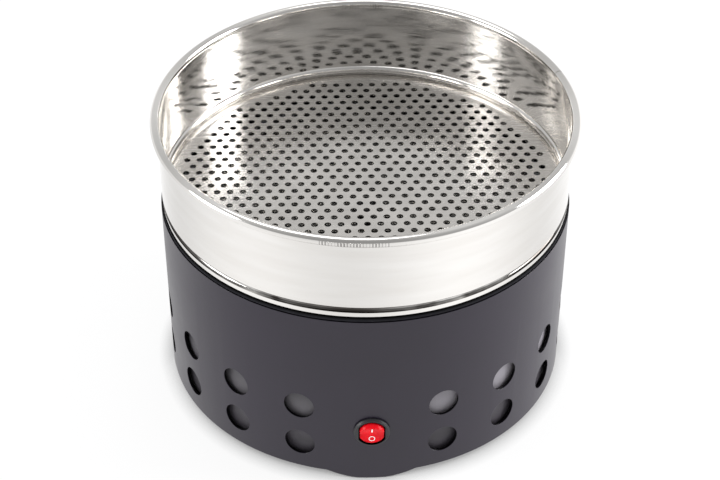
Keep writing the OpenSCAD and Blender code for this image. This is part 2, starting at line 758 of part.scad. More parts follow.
// Swept tube along a list of points, with a frame carried from point to point
function unit(v) = v / norm(v);
function heading(p, i) = unit(p[min(i + 1, len(p) - 1)] - p[max(i - 1, 0)]);
function carry(p, i, n) = let (t = heading(p, i)) unit(n - (n * t) * t);
function normals(p, i, n) = i == len(p) ? [] : let (m = carry(p, i, n)) concat([m], normals(p, i + 1, m));
module tube(p, r, start_normal) {
    sides = 8;
    ns = normals(p, 0, start_normal);
    pts = [for (i = [0 : len(p) - 1]) let (b = cross(heading(p, i), ns[i]))
        for (k = [0 : sides - 1]) p[i] + r * (cos(k * 360 / sides) * ns[i] + sin(k * 360 / sides) * b)];
    walls = [for (i = [0 : len(p) - 2]) for (k = [0 : sides - 1])
        let (k2 = (k + 1) % sides)
            [i * sides + k, (i + 1) * sides + k, (i + 1) * sides + k2, i * sides + k2]];
    first = [[for (k = [0 : sides - 1]) k]];
    last = [[for (k = [sides - 1 : -1 : 0]) (len(p) - 1) * sides + k]];
    polyhedron(points = pts, faces = concat(first, walls, last));
}

// Lead from the inlet round the drum's left side to the switch, on points chosen by hand
module supply_lead() color("#a31d22") {
    start_z = service_z + tag_up + tag_t / 2 + solder_gap;
    end_z = service_z + terminal_up + terminal_t / 2 + solder_gap;
    tube(concat(
        [[0, tag_y, start_z], [0, tag_y, start_z + 1.6 * lead_bend],
            [0, tag_y + 0.6 * lead_bend, start_z + 3.4 * lead_bend],
            at_az(lead_ring_r - lead_bend, -179, lead_ring_z - 3 * lead_bend),
            at_az(lead_ring_r - 0.2 * lead_bend, -176, lead_ring_z - lead_bend)],
        [for (az = [-170 : lead_az_step : -18]) at_az(lead_ring_r, az, lead_ring_z)],
        [at_az(lead_ring_r - 0.4 * lead_bend, -12, lead_ring_z - 0.4 * lead_bend),
            at_az(lead_ring_r - lead_bend, -7, lead_ring_z - 1.6 * lead_bend),
            [-lead_bend, terminal_y - 0.6 * lead_bend, lead_ring_z - 3.6 * lead_bend],
            [0, terminal_y, end_z + 1.6 * lead_bend], [0, terminal_y, end_z]]),
        lead_r, [1, 0, 0]);
}

// What both fan leads share: under the deck, up a grommet and into the frame, on side -1 or 1 of Y
function to_fan(side) = let (b = lead_bend) [for (p = [
    [grommet_y + 3.8 * b, hopper_z - 1.3 * b], [grommet_y + 1.8 * b, hopper_z - 1.5 * b],
    [grommet_y + 0.3 * b, hopper_z - 1.1 * b], [grommet_y, hopper_z - 0.5 * b],
    [grommet_y, fan_z + 0.8 * b], [grommet_y - 0.6 * b, fan_z + 1.6 * b],
    [grommet_y - 1.6 * b, fan_z + 2 * b],
    [fan_bore_r + fan_wall_t + solder_gap, fan_z + 2 * b]]) [0, side * p[0], p[1]]];

// Lead from the switch to the fan
module fan_lead() color("#a31d22") {
    start_z = service_z - terminal_up - terminal_t / 2 - solder_gap;
    tube(concat([[0, terminal_y, start_z], [0, terminal_y, start_z - 1.6 * lead_bend],
        [0, terminal_y + 0.6 * lead_bend, start_z - 3 * lead_bend]], to_fan(-1)), lead_r, [1, 0, 0]);
}

// Lead from the inlet to the fan, on the back
module return_lead() color("#222224") {
    start_z = service_z - tag_up - tag_t / 2 - solder_gap;
    tube(concat([[0, tag_y, start_z], [0, tag_y, start_z - 1.8 * lead_bend],
        [0, tag_y - 0.6 * lead_bend, start_z - 3.8 * lead_bend]], to_fan(1)), lead_r, [1, 0, 0]);
}

// Clips that hold the supply lead to the drum's wall
module lead_clips() color(black_plastic) for (az = clip_az)
    to_az(az - clip_w_az / 2) rotate_extrude(angle = clip_w_az) {
        translate([lead_ring_r, lead_ring_z]) difference() {
            circle(r = lead_r + clip_gap + clip_t, $fn = 32);
            circle(r = lead_r + clip_gap, $fn = 32);
        }
        translate([weld_r - clip_t, lead_ring_z - clip_h / 2]) square([clip_t, clip_h]);
    }

// Rubber grommets in the fan deck
module lead_grommets() color(black_rubber) for (y = [-grommet_y, grommet_y]) translate([0, y, 0])
    rotate_extrude() {
        inner = lead_r + grommet_gap;
        outer = grommet_hole_r + grommet_lip;
        polygon([[inner, hopper_z - grommet_lip], [outer, hopper_z - grommet_lip], [outer, hopper_z],
            [grommet_hole_r, hopper_z], [grommet_hole_r, fan_z], [outer, fan_z],
            [outer, fan_z + grommet_lip], [inner, fan_z + grommet_lip]]);
    }

drum();
ledge_ring();
vent_screens();
foot_brackets();
base_plate();
foot_pads();
foot_screws();
seat_gasket();
pan_wall();
pan_floor();
hopper();
fan_deck();
hopper_screws();
chaff_tray();
chaff_screen();
tray_knob();
knob_washer();
knob_screw();
fan_frame();
fan_rotor();
rotor_magnet();
fan_shaft();
fan_bearings();
fan_stator();
fan_board();
fan_guard();
fan_screws();
fan_nuts();
switch_body();
switch_rocker();
switch_terminals();
power_inlet();
inlet_nut();
inlet_contacts();
supply_lead();
fan_lead();
return_lead();
lead_clips();
lead_grommets();
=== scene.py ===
"""Looks of a countertop cooler: a polished pan on a vented drum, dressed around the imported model.

Everything is in the frame's own metres, and a size written here in millimetres is multiplied by MM.
Azimuths are degrees from the front, -Y, turning towards +X.
"""

import math

import bpy
from bpy.props import FloatProperty, FloatVectorProperty, IntProperty, PointerProperty
from mathutils import Matrix, Vector


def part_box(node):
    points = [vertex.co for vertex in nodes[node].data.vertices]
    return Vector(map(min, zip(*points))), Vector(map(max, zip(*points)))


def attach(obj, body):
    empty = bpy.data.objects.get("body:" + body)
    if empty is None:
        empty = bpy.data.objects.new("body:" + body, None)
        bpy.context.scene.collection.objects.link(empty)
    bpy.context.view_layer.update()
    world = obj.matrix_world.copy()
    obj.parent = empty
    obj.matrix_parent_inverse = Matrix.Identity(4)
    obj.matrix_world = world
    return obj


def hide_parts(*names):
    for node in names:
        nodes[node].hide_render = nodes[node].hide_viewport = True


bl_info = {
    "name": "Cooler looks",
    "version": (1, 0, 0),
    "blender": (4, 5, 0),
    "location": "View3D > Sidebar > Cooler",
    "description": "Models a countertop cooler's visible pieces and gives every piece its finish",
    "category": "Object",
}

MM = 0.001
TAU = 2 * math.pi
MERGE = 0.001 * MM  # vertices nearer than this become one
BANDS = 3.18  # bands per unit that a wave texture draws at scale 1
SMOOTH = 35  # degrees between two faces that still shade as one
WIRE_SMOOTH = 80  # the same on wires and on the printed ring

# Settings that many nodes share
RGBA = {"data_type": "RGBA"}
TIMES = {"operation": "MULTIPLY"}
LARGER = {"operation": "MAXIMUM"}

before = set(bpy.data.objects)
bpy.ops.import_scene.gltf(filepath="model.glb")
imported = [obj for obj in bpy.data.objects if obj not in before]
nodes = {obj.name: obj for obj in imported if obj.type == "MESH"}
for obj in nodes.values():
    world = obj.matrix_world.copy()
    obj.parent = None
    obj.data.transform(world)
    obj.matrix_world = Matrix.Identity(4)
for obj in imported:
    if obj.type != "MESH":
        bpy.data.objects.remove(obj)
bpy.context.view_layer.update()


def low(node):
    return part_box(node)[0]


def high(node):
    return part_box(node)[1]


# Sizes that come from the frame
DRUM_R = high("drum").x
DRUM_IN_R = high("ledge_ring").x
DRUM_TOP = high("drum").z
PAN_TOP = high("pan_wall").z
RIM_R = high("pan_wall").x
SEAT_Z = high("seat_gasket").z
SWITCH_Z = (low("switch_body").z + high("switch_body").z) / 2


# ---------------------------------------------------------------- what a user would change

def linear(colour):
    """An sRGB hex colour, such as #46444a, as linear RGBA."""
    values = [int(colour[i:i + 2], 16) / 255 for i in (1, 3, 5)]
    return [v / 12.92 if v <= 0.04045 else ((v + 0.055) / 1.055) ** 2.4 for v in values] + [1.0]


def colour(name, description, value):
    return FloatVectorProperty(name=name, description=description, default=linear(value),
                               subtype="COLOR", size=4, min=0, max=1)


def length(name, description, value):
    return FloatProperty(name=name, description=description, default=value * MM, min=0,
                         unit="LENGTH", precision=5)


class CoolerColours(bpy.types.PropertyGroup):
    """Colours of the finishes"""
    steel: colour("Steel", "Polished stainless steel of the pan", "#f0eeeb")
    worked_steel: colour("Worked steel", "Punched and spun steel of the pan's floor and the tray",
                         "#d9d6d2")
    # Painted shade in the pan's groove and on the rim's ripples, and the dark paste of its joint
    paste: colour("Buffing paste", "Paste left in the pan's groove, marks and joint", "#4a4643")
    paint: colour("Paint", "Satin powder coat of the drum", "#1b1424")
    # Painted shade for the vents' cut edges, the drum's inside and the gap round the rocker
    cut_edge: colour("Cut edge", "Paint in the vents' cut edges and inside the drum", "#08070a")
    cloth: colour("Wire cloth", "Wires of the cloth behind the vents", "#858288")
    # Painted shade in the cloth's openings and behind the lower vents
    cloth_gap: colour("Cloth openings", "Openings and soot of that cloth", "#3a373d")
    silicone: colour("Silicone", "Seat trim, grommets and feet", "#0e0e10")
    nylon: colour("Nylon", "Moulded switch body, socket, knob and clips", "#1e1d21")
    rocker: colour("Rocker", "Red rocker of the switch", "#e30a1a")
    ink: colour("Ink", "Printed marks on the rocker", "#ffffff")
    galvanised: colour("Galvanised sheet", "Hopper and the deck that carries the fan", "#c6c9ca")
    zinc: colour("Zinc plating", "Screws, nuts and brackets", "#c4c7ca")
    wire: colour("Nickel wire", "Fan guard and chaff screen", "#d2cfc8")
    fan: colour("Fan moulding", "Glass-filled fan frame and rotor", "#242427")
    copper: colour("Copper", "Fan winding", "#b3622c")
    board: colour("Circuit board", "Solder mask of the fan's board", "#12552d")
    brass: colour("Brass", "Switch terminals", "#d2b26d")
    red_lead: colour("Red lead", "Insulation of the supply leads", "#a3161c")
    black_lead: colour("Black lead", "Insulation of the return lead", "#1b1b1e")
    floor: colour("Studio floor", "Paper that the cooler stands on", "#f8f8f9")


class CoolerSizes(bpy.types.PropertyGroup):
    """Sizes of the looks that the frame doesn't fix"""
    turn_steps: IntProperty(name="Turn steps", description="Steps round a turned piece",
                            default=256, min=64)
    bead: length("Rim bead", "Diameter of the rolled bead round the rim", 5.8)
    sheet: length("Pan sheet", "Sheet thickness of the pan", 1.0)
    pan_inset: length("Pan inset", "How far the pan's wall stands inside the drum's outside", 1.0)
    groove: length("Groove", "Half height of the groove rolled into the pan's wall", 1.85)
    groove_up: length("Groove height", "Height of the groove's middle above the seat", 5.2)
    curl_mouth: length("Curl mouth", "Width of the slit under the rolled rim", 0.8)
    ripple: length("Rim ripple", "Height of the ripples that rolling left in the rim", 0.1)
    ripple_pitch: length("Ripple pitch", "Distance between two ripples", 1.75)
    paint_round: length("Painted edge", "Radius of the drum's edges under the paint", 0.4)
    lip_round: length("Lip edge", "Radius of the seat trim's edges", 0.7)
    switch_edge: length("Switch edges", "Radius of the rocker's edges", 0.5)
    stroke_tall: length("Stroke height", "Height of the I mark", 4.6)
    stroke_line: length("Stroke line", "Width of the I mark", 0.85)
    ring_wide: length("Ring width", "Width of the O mark", 3.9)
    ring_line: length("Ring line", "Width of the O mark's line", 0.5)
    mark_up: length("Mark place", "Distance of each mark from the rocker's middle", 4.2)
    ink_film: length("Ink film", "Thickness of the printed marks", 0.06)
    cloth_pitch: length("Cloth pitch", "Distance between two wires of the vents' cloth", 0.9)
    screen_pitch: length("Screen pitch", "Distance between two wires of the chaff screen", 3.6)
    screen_wire: length("Screen wire", "Radius of a wire of the chaff screen", 0.28)


# ---------------------------------------------------------------- material helpers

def add(tree, kind, settings, inputs):
    """Adds a shader node, sets its settings, links or fills its inputs and returns its outputs."""
    made = tree.nodes.new("ShaderNode" + kind)
    for name, value in settings.items():
        setattr(made, name, value)
    for key, value in inputs.items():
        if isinstance(value, bpy.types.NodeSocket):
            tree.links.new(value, made.inputs[key])
        else:
            made.inputs[key].default_value = value
    return made.outputs


def blank(name):
    made = bpy.data.materials.new(name)
    made.use_nodes = True
    made.node_tree.nodes.clear()
    return made, made.node_tree


def closed(made, inputs):
    """Ends a material in one Principled shader, whose plain inputs are set on it."""
    shader = add(made.node_tree, "BsdfPrincipled", {}, inputs)[0]
    add(made.node_tree, "OutputMaterial", {}, {"Surface": shader})
    return made


def shade(colour, factor):
    return [min(1.0, c * factor) for c in colour[:3]] + [1.0]


def around(tree):
    """The piece's place about Z: angle from +X in radians, height, and distance from the axis."""
    x, y, z = add(tree, "SeparateXYZ", {}, {0: add(tree, "TexCoord", {}, {})["Object"]})
    flat = add(tree, "CombineXYZ", {}, {0: x, 1: y})[0]
    out = add(tree, "VectorMath", {"operation": "LENGTH"}, {0: flat})["Value"]
    return add(tree, "Math", {"operation": "ARCTAN2"}, {0: y, 1: x})[0], z, out


def unrolled(tree, radius):
    """The same place unrolled flat: arc length at a radius, height, and distance from the axis."""
    angle, z, out = around(tree)
    arc_length = add(tree, "Math", TIMES, {0: angle, 1: radius})[0]
    return add(tree, "CombineXYZ", {}, {0: arc_length, 1: z, 2: out})[0]


def mottle(tree, vector, size, detail=3.0):
    """A pattern from 0 to 1, its spots as many metres long as size says along each coordinate."""
    scaled = add(tree, "VectorMath", {"operation": "DIVIDE"}, {0: vector, 1: size})[0]
    spots = add(tree, "TexNoise", {}, {
        "Vector": scaled, "Scale": 1.0, "Detail": detail, "Roughness": 0.55})[0]
    return add(tree, "MapRange", {}, {"Value": spots, "From Min": 0.3, "From Max": 0.7})[0]


def mottled(name, size, dark, pale, smooth, rough, relief=0.0, detail=3.0, **shader):
    """A finish whose colour, roughness and relief follow one fine pattern."""
    made, tree = blank(name)
    grain = mottle(tree, add(tree, "TexCoord", {}, {})["Object"], size, detail)
    inputs = {key.replace("_", " "): value for key, value in shader.items()}
    inputs["Base Color"] = add(tree, "Mix", RGBA, {0: grain, 6: dark, 7: pale})[2]
    inputs["Roughness"] = add(tree, "MapRange", {}, {
        "Value": grain, "To Min": smooth, "To Max": rough})[0]
    if relief:
        inputs["Normal"] = add(tree, "Bump", {}, {"Height": grain, "Distance": relief})[0]
    return closed(made, inputs)


# ---------------------------------------------------------------- finishes

REFLECTION_WAVES = 6.0  # painted reflection: soft paler and darker waves round the pan
REFLECTION_TURN = 36  # degrees that the waves are turned by
RIM_MARKS = ((-4.6, 8.6), (179.3, 6.5), (107, 0.1))  # front, back and joint: azimuth and half width


def roll_waves(tree, angle):
    """From 0 to 1 and back, once for each wave of painted reflection round the pan."""
    phase = add(tree, "Math", {"operation": "MULTIPLY_ADD"}, {
        0: angle, 1: REFLECTION_WAVES, 2: math.radians(REFLECTION_TURN)})[0]
    wave = add(tree, "Math", {"operation": "COSINE"}, {0: phase})[0]
    return add(tree, "MapRange", {}, {"Value": wave, "From Min": -1.0})[0]


def in_groove(tree, sizes, height, out):
    """1 in the groove, told from the wall's inside by its distance from the groove's own middle."""
    section = add(tree, "CombineXYZ", {}, {0: out, 1: height})[0]
    middle = (DRUM_R - sizes.pan_inset, SEAT_Z + sizes.groove_up, 0)
    away = add(tree, "VectorMath", {"operation": "DISTANCE"}, {0: section, 1: middle})["Value"]
    return add(tree, "Math", {"operation": "LESS_THAN"}, {0: away, 1: sizes.groove + 0.15 * MM})[0]


def in_crease(tree, sizes, height, out):
    """1 in a thin band on the outside just under the rim, where the rim's shade is painted as a
    reflection.
    """
    below = add(tree, "Math", {"operation": "COMPARE"}, {
        0: height, 1: PAN_TOP - sizes.bead - 1.3 * MM, 2: 0.5 * MM})[0]
    outer = add(tree, "Math", {"operation": "GREATER_THAN"}, {
        0: out, 1: DRUM_R - sizes.pan_inset - 0.5 * MM})[0]
    return add(tree, "Math", TIMES, {0: below, 1: outer})[0]


def rim_marks(tree, sizes, angle, height, flat):
    """Ripples where the rim was closed at front and back, the painted shade on them, and the joint's
    dark.
    """
    rim = add(tree, "Math", {"operation": "GREATER_THAN"}, {0: height, 1: PAN_TOP - sizes.bead})[0]
    lower_rim = add(tree, "Math", {"operation": "COMPARE"}, {
        0: height, 1: PAN_TOP - sizes.bead * 0.66, 2: sizes.bead * 0.34})[0]
    front, back, butt = [
        add(tree, "Math", {"operation": "COMPARE"}, {
            0: angle, 1: math.radians(azimuth - 90), 2: math.radians(half)})[0]
        for azimuth, half in RIM_MARKS]
    closing = add(tree, "Math", LARGER, {0: front, 1: back})[0]
    where = add(tree, "Math", TIMES, {0: closing, 1: lower_rim})[0]
    pitches = add(tree, "Math", TIMES, {0: angle, 1: TAU * RIM_R / sizes.ripple_pitch})[0]
    sine = add(tree, "Math", {"operation": "SINE"}, {0: pitches})[0]
    teeth = add(tree, "MapRange", {}, {"Value": sine, "From Min": -0.2, "From Max": 0.3})[0]
    patchy = mottle(tree, flat, (6 * MM, 40 * MM, 40 * MM), detail=1.0)
    comb = add(tree, "Math", TIMES, {0: teeth, 1: patchy})[0]
    ripples = add(tree, "Math", TIMES, {0: comb, 1: where})[0]
    joint = add(tree, "Math", TIMES, {0: butt, 1: rim})[0]
    # Painted shade on the ripples, a little weaker than the joint's dark
    ripple_shade = add(tree, "Math", TIMES, {0: ripples, 1: 0.75})[0]
    return ripples, add(tree, "Math", LARGER, {0: joint, 1: ripple_shade})[0]


def polished_stainless(colours, sizes):
    """Stainless sheet, rolled and buffed to a mirror. Six soft waves of painted reflection are paler
    and darker by turns, painted shade darkens the groove and a band under the rim, and the rim has
    short ripples darkened with painted shade where it was closed at the front and back, and a dark
    butt joint."""
    made, tree = blank("polished_stainless")
    flat = unrolled(tree, RIM_R)
    angle, height, out = around(tree)
    lines = mottle(tree, flat, (90 * MM, 0.7 * MM, 40 * MM))
    streaks = mottle(tree, flat, (70 * MM, 9 * MM, 60 * MM), detail=2.0)
    # Painted reflection: the steel is paler and darker by turns round the pan
    waves = roll_waves(tree, angle)
    broad = add(tree, "Mix", RGBA, {
        0: waves, 6: shade(colours.steel, 0.85), 7: shade(colours.steel, 1.1)})[2]
    wall = add(tree, "Mix", {**RGBA, "blend_type": "MULTIPLY"}, {
        0: streaks, 6: broad, 7: linear("#f8f7f6")})[2]
    # Painted shade in the groove, with paler patches that follow the painted reflection waves
    patches = add(tree, "Math", TIMES, {
        0: waves, 1: mottle(tree, flat, (16 * MM, 3 * MM, 30 * MM), detail=2.0)})[0]
    paste = add(tree, "Mix", RGBA, {0: patches, 6: colours.paste, 7: shade(colours.steel, 0.9)})[2]
    groove = in_groove(tree, sizes, height, out)
    grooved = add(tree, "Mix", RGBA, {0: groove, 6: wall, 7: paste})[2]
    # Painted reflection of the rim's shade: a dark band on the wall just under the rim
    rim_shade = in_crease(tree, sizes, height, out)
    rim_shaded = add(tree, "Mix", RGBA, {0: rim_shade, 6: grooved, 7: shade(colours.steel, 0.45)})[2]
    # dark holds the joint's own dark and the painted shade on the ripples
    ripples, dark = rim_marks(tree, sizes, angle, height, flat)
    rippled = add(tree, "Bump", {}, {"Height": ripples, "Distance": sizes.ripple})[0]
    wavy = add(tree, "Bump", {}, {"Height": streaks, "Distance": 0.05 * MM, "Normal": rippled})[0]
    return closed(made, {
        "Metallic": 1.0,
        "Base Color": add(tree, "Mix", RGBA, {0: dark, 6: rim_shaded, 7: colours.paste})[2],
        "Roughness": add(tree, "MapRange", {}, {"Value": lines, "To Min": 0.05, "To Max": 0.13})[0],
        "Normal": add(tree, "Bump", {}, {
            "Height": lines, "Distance": 0.004 * MM, "Normal": wavy})[0]})


def satin_stainless(colours, sizes):
    """Punched and spun stainless of the floor and the tray: a fine brushed grain along X, and
    handling marks."""
    made, tree = blank("satin_stainless")
    here = add(tree, "TexCoord", {}, {})["Object"]
    grain = mottle(tree, here, (30 * MM, 0.6 * MM, 10 * MM))
    marks = mottle(tree, here, (20 * MM, 16 * MM, 20 * MM), detail=5.0)
    return closed(made, {
        "Metallic": 1.0,
        "Base Color": add(tree, "Mix", RGBA, {
            0: marks, 6: shade(colours.worked_steel, 0.9), 7: shade(colours.worked_steel, 1.1)})[2],
        "Roughness": add(tree, "MapRange", {}, {"Value": grain, "To Min": 0.16, "To Max": 0.3})[0],
        "Normal": add(tree, "Bump", {}, {"Height": grain, "Distance": 0.006 * MM})[0]})


def black_powder_coat(colours, sizes):
    """Steel sheet with a baked satin powder coat: nearly black with a violet cast and a fine orange
    peel of 2 mm. The vents' cut edges and the inside are dead black and dull with painted shade."""
    made, tree = blank("black_powder_coat")
    here = add(tree, "TexCoord", {}, {})["Object"]
    peel = mottle(tree, here, (2 * MM, 2 * MM, 2 * MM), detail=2.0)
    cloud = mottle(tree, here, (60 * MM, 60 * MM, 40 * MM), detail=4.0)
    coat = add(tree, "Mix", RGBA,
               {0: cloud, 6: shade(colours.paint, 0.92), 7: shade(colours.paint, 1.08)})[2]
    # Painted shade: all that lies inside the drum's outer face, the vents' cut edges too, is dead
    # black and reflects little
    face = add(tree, "MapRange", {}, {"Value": around(tree)[2], "From Min": DRUM_R - 0.25 * MM,
                                      "From Max": DRUM_R - 0.12 * MM})[0]
    edges = add(tree, "Bevel", {"samples": 4}, {"Radius": sizes.paint_round})[0]
    return closed(made, {
        "IOR": 1.5,
        "Specular IOR Level": add(tree, "MapRange", {}, {
            "Value": face, "To Min": 0.1, "To Max": 0.5})[0],
        "Base Color": add(tree, "Mix", RGBA, {0: face, 6: colours.cut_edge, 7: coat})[2],
        "Roughness": add(tree, "MapRange", {}, {"Value": cloud, "To Min": 0.3, "To Max": 0.35})[0],
        "Normal": add(tree, "Bump", {}, {
            "Height": peel, "Distance": 0.008 * MM, "Normal": edges})[0]})


def wire_cloth(colours, sizes):
    """Fine woven steel cloth, whose grey wires and dark openings run together at arm's length; the
    openings' dark is painted shade. Painted light makes it palest on the right and towards the upper
    vents' lower edges, and painted shade makes it dark and mottled behind the lower vents. The weave
    is coarser than a real one, so that it shows from near."""
    made, tree = blank("wire_cloth")
    scale = 1 / sizes.cloth_pitch / BANDS
    weave = unrolled(tree, DRUM_IN_R)
    bands = [add(tree, "TexWave", {"bands_direction": way}, {"Vector": weave, "Scale": scale})[1]
             for way in ("X", "Y")]
    wires = add(tree, "Math", LARGER, {0: bands[0], 1: bands[1]})[0]
    height = around(tree)[1]
    dust = mottle(tree, weave, (14 * MM, 10 * MM, 12 * MM), detail=2.0)
    # Painted shade: the cloth turns dark and mottled below the upper vents
    unshaded = add(tree, "MapRange", {}, {
        "Value": height, "From Min": 33 * MM, "From Max": 44 * MM})[0]
    # Painted light: paler towards the upper vents' lower edges and towards the right
    light = add(tree, "MapRange", {}, {
        "Value": height, "From Min": 62 * MM, "From Max": 46 * MM})[0]
    across = add(tree, "SeparateXYZ", {}, {0: add(tree, "TexCoord", {}, {})["Object"]})[0]
    to_right = add(tree, "MapRange", {}, {
        "Value": across, "From Min": -30 * MM, "From Max": 85 * MM})[0]
    painted_light = add(tree, "Math", {"operation": "MULTIPLY_ADD"}, {0: light, 1: 0.35, 2: to_right})[0]
    bright = add(tree, "Mix", RGBA,
                 {0: painted_light, 6: shade(colours.cloth, 0.2), 7: shade(colours.cloth, 1.15)})[2]
    shaded_low = add(tree, "Mix", RGBA,
                {0: dust, 6: shade(colours.cloth_gap, 0.6), 7: shade(colours.cloth_gap, 1.2)})[2]
    pale = add(tree, "Mix", RGBA, {0: unshaded, 6: shaded_low, 7: bright})[2]
    # The openings' dark is painted shade
    woven = add(tree, "MapRange", {}, {"Value": wires, "To Min": 0.7, "To Max": 1.0})[0]
    return closed(made, {
        "Metallic": 0.2,
        "Base Color": add(tree, "Mix", RGBA, {0: woven, 6: colours.cloth_gap, 7: pale})[2],
        "Roughness": add(tree, "MapRange", {}, {"Value": dust, "To Min": 0.36, "To Max": 0.5})[0],
        "Normal": add(tree, "Bump", {}, {"Height": wires, "Distance": 0.03 * MM})[0]})


def galvanised_sheet(colours, sizes):
    """Hot-dip galvanised sheet gone dull: pale grey crystals of 9 mm, each with its own sheen."""
    made, tree = blank("galvanised_sheet")
    here = add(tree, "TexCoord", {}, {})["Object"]
    crystals = add(tree, "TexVoronoi", {}, {"Vector": here, "Scale": 1 / (9 * MM)})["Color"]
    tone = add(tree, "RGBToBW", {}, {0: crystals})[0]
    return closed(made, {
        "Metallic": 0.35,
        "Base Color": add(tree, "Mix", RGBA, {
            0: tone, 6: shade(colours.galvanised, 0.9), 7: shade(colours.galvanised, 1.1)})[2],
        "Roughness": add(tree, "MapRange", {}, {"Value": tone, "To Min": 0.38, "To Max": 0.55})[0]})


def copper_winding(colours, sizes):
    """Enamelled copper wire wound in turns of 0.5 mm: shining turns with painted shade in the gaps
    between them.
    """
    made, tree = blank("copper_winding")
    here = add(tree, "TexCoord", {}, {})["Object"]
    scale = 1 / (0.5 * MM) / BANDS
    turns = add(tree, "TexWave", {"bands_direction": "Z"}, {"Vector": here, "Scale": scale})[1]
    return closed(made, {
        "Metallic": 0.9, "Roughness": 0.3,
        # Painted shade in the gaps between the turns
        "Base Color": add(tree, "Mix", RGBA, {
            0: turns, 6: shade(colours.copper, 0.35), 7: shade(colours.copper, 1.1)})[2],
        "Normal": add(tree, "Bump", {}, {"Height": turns, "Distance": 0.1 * MM})[0]})


def black_silicone(colours, sizes):
    """Moulded silicone of the feet and grommets: dead black with a soft bloom of dust."""
    return mottled("black_silicone", (4 * MM, 4 * MM, 3 * MM), dark=shade(colours.silicone, 0.8),
                   pale=shade(colours.silicone, 1.5), smooth=0.5, rough=0.68, IOR=1.41)


def seat_silicone(colours, sizes):
    """Extruded silicone trim, matt and in the rim's shade: painted shade makes its top the blackest
    line of all, fading down to a paler, dust-mottled grey of painted light at its foot."""
    made, tree = blank("seat_silicone")
    here = add(tree, "TexCoord", {}, {})["Object"]
    # Painted shade at the top under the rim, fading to painted light at the foot
    foot = add(tree, "MapRange", {}, {"Value": around(tree)[1], "From Min": SEAT_Z - 0.4 * MM,
                                      "From Max": DRUM_TOP})[0]
    dust = mottle(tree, here, (5 * MM, 5 * MM, 3 * MM))
    grey = add(tree, "Mix", RGBA,
               {0: dust, 6: shade(colours.silicone, 5.5), 7: shade(colours.silicone, 7.5)})[2]
    return closed(made, {
        "IOR": 1.41, "Specular IOR Level": 0.06,
        "Base Color": add(tree, "Mix", RGBA, {
            0: foot, 6: shade(colours.silicone, 0.1), 7: grey})[2],
        "Roughness": add(tree, "MapRange", {}, {"Value": dust, "To Min": 0.7, "To Max": 0.85})[0]})


def moulded_nylon(colours, sizes):
    """Injection-moulded black nylon: satin, with the mould's spark-eroded grain, drawn at 0.5 mm to
    show."""
    return mottled("moulded_nylon", (0.5 * MM, 0.5 * MM, 0.5 * MM), dark=shade(colours.nylon, 0.9),
                   pale=shade(colours.nylon, 1.15), smooth=0.34, rough=0.46, relief=0.012 * MM,
                   detail=2.0, IOR=1.53)


def bezel_nylon(colours, sizes):
    """The same black nylon with a matt face, and no light down in the gap round the rocker."""
    made, tree = blank("bezel_nylon")
    here = add(tree, "TexCoord", {}, {})["Object"]
    x, _, z = add(tree, "SeparateXYZ", {}, {0: here})
    across = add(tree, "CombineXYZ", {}, {0: x, 1: z})[0]
    away = add(tree, "VectorMath", {"operation": "DISTANCE"}, {
        0: across, 1: (0, SWITCH_Z, 0)})["Value"]
    aside = add(tree, "Math", {"operation": "ABSOLUTE"}, {0: x})[0]
    # The gap round the rocker ends at its flat sides and at the flange's round opening
    beside = add(tree, "MapRange", {}, {
        "Value": aside, "From Min": 7.9 * MM, "From Max": 8.3 * MM})[0]
    flange = add(tree, "MapRange", {}, {
        "Value": away, "From Min": 9.1 * MM, "From Max": 9.5 * MM})[0]
    lit = add(tree, "Math", LARGER, {0: beside, 1: flange})[0]
    grain = mottle(tree, here, (0.5 * MM, 0.5 * MM, 0.5 * MM), detail=2.0)
    grey = add(tree, "Mix", RGBA,
               {0: grain, 6: shade(colours.nylon, 0.9), 7: shade(colours.nylon, 1.15)})[2]
    return closed(made, {
        "IOR": 1.53,
        "Specular IOR Level": add(tree, "MapRange", {}, {
            "Value": lit, "To Min": 0.0, "To Max": 0.5})[0],
        "Base Color": add(tree, "Mix", RGBA, {0: lit, 6: shade(colours.cut_edge, 0.3), 7: grey})[2],
        "Roughness": add(tree, "MapRange", {}, {"Value": grain, "To Min": 0.36, "To Max": 0.46})[0],
        "Normal": add(tree, "Bump", {}, {"Height": grain, "Distance": 0.012 * MM})[0]})


def red_polycarbonate(colours, sizes):
    """Polished red polycarbonate: a soft gloss, and a red that is deeper and paler in soft patches."""
    return mottled("red_polycarbonate", (6 * MM, 6 * MM, 5 * MM), dark=shade(colours.rocker, 0.85),
                   pale=shade(colours.rocker, 1.1), smooth=0.2, rough=0.28, detail=1.0, IOR=1.58,
                   Specular_IOR_Level=0.08)


def pad_printed_ink(colours, sizes):
    """Opaque white pad-printed ink: flat, with a slightly uneven film."""
    return mottled("pad_printed_ink", (0.6 * MM, 0.6 * MM, 0.6 * MM), dark=shade(colours.ink, 0.93),
                   pale=colours.ink, smooth=0.4, rough=0.55, IOR=1.5)


def zinc_plating(colours, sizes):
    """Bright zinc plating on bought screws, nuts and pressed brackets: cool pale grey, softly
    shining."""
    return mottled("zinc_plating", (3 * MM, 3 * MM, 3 * MM), dark=shade(colours.zinc, 0.88),
                   pale=shade(colours.zinc, 1.05), smooth=0.2, rough=0.36, Metallic=1.0)


def nickel_wire(colours, sizes):
    """Drawn wire with bright nickel plating: warm and shiny."""
    return mottled("nickel_wire", (6 * MM, 6 * MM, 6 * MM), dark=shade(colours.wire, 0.9),
                   pale=shade(colours.wire, 1.05), smooth=0.14, rough=0.26, Metallic=1.0)


def stamped_brass(colours, sizes):
    """Stamped brass terminals: yellow, a little tarnished."""
    return mottled("stamped_brass", (3 * MM, 3 * MM, 1 * MM), dark=shade(colours.brass, 0.85),
                   pale=shade(colours.brass, 1.05), smooth=0.24, rough=0.4, Metallic=1.0)


